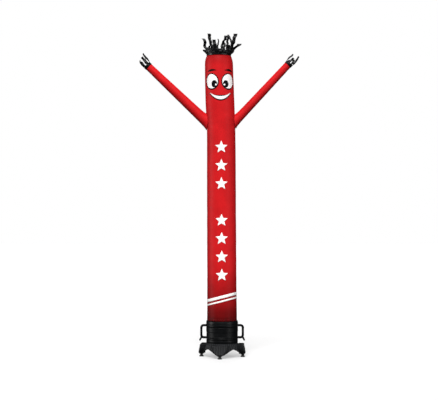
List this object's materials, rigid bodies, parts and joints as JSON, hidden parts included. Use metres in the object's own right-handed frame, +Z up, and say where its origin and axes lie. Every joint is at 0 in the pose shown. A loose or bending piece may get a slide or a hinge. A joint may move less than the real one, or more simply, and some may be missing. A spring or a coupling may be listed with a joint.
{
  "type": "inflatable air dancer with blower",
  "caption": "Tall red nylon tube figure with two raised arms, black streamer hair and hands and a sewn-on cartoon face, inflated on a round black floor blower with handles and feet.",
  "frame": {"origin": "on the floor under the middle of the figure's whole width; the blower's upright axis is 26.7 mm from it towards +X", "axes": "+Z up along the tube; the face looks along -Y; +X is to the right seen from the front"},
  "size_m": [1.6546, 0.4828, 3.335],
  "materials": {
    "red_nylon": "thin coated ripstop nylon, slightly glossy",
    "black_nylon": "thin coated nylon, satin",
    "white_nylon": "thin coated nylon, matte",
    "black_plastic": "moulded polyethylene, satin",
    "rubber": "moulded rubber, dull"
  },
  "bodies": {
    "root": {"arm_left": "red_nylon", "arm_right": "red_nylon", "band_lower": "white_nylon", "band_upper": "white_nylon", "base_skirt": "black_plastic", "body_tube": "red_nylon", "brow_left": "black_nylon", "brow_right": "black_nylon", "cable_gland": "black_plastic", "crown": "red_nylon", "eye_rim_left": "black_nylon", "eye_rim_right": "black_nylon", "eye_white_left": "white_nylon", "eye_white_right": "white_nylon", "foot_back": "rubber", "foot_front": "rubber", "foot_left": "rubber", "foot_right": "rubber", "glint_left": "white_nylon", "glint_right": "white_nylon", "hair": "black_nylon", "hand_left": "black_nylon", "hand_right": "black_nylon", "handle_left": "black_plastic", "handle_right": "black_plastic", "housing": "black_plastic", "intake_guard": "black_plastic", "leg_back": "black_plastic", "leg_front": "black_plastic", "leg_left": "black_plastic", "leg_right": "black_plastic", "lip_ring": "black_plastic", "mouth_rim": "black_nylon", "mouth_white": "white_nylon", "outlet_collar": "black_plastic", "pupil_left": "black_nylon", "pupil_right": "black_nylon", "star_1": "white_nylon", "star_2": "white_nylon", "star_3": "white_nylon", "star_4": "white_nylon", "star_5": "white_nylon", "star_6": "white_nylon", "star_7": "white_nylon"}
  },
  "joints": []
}
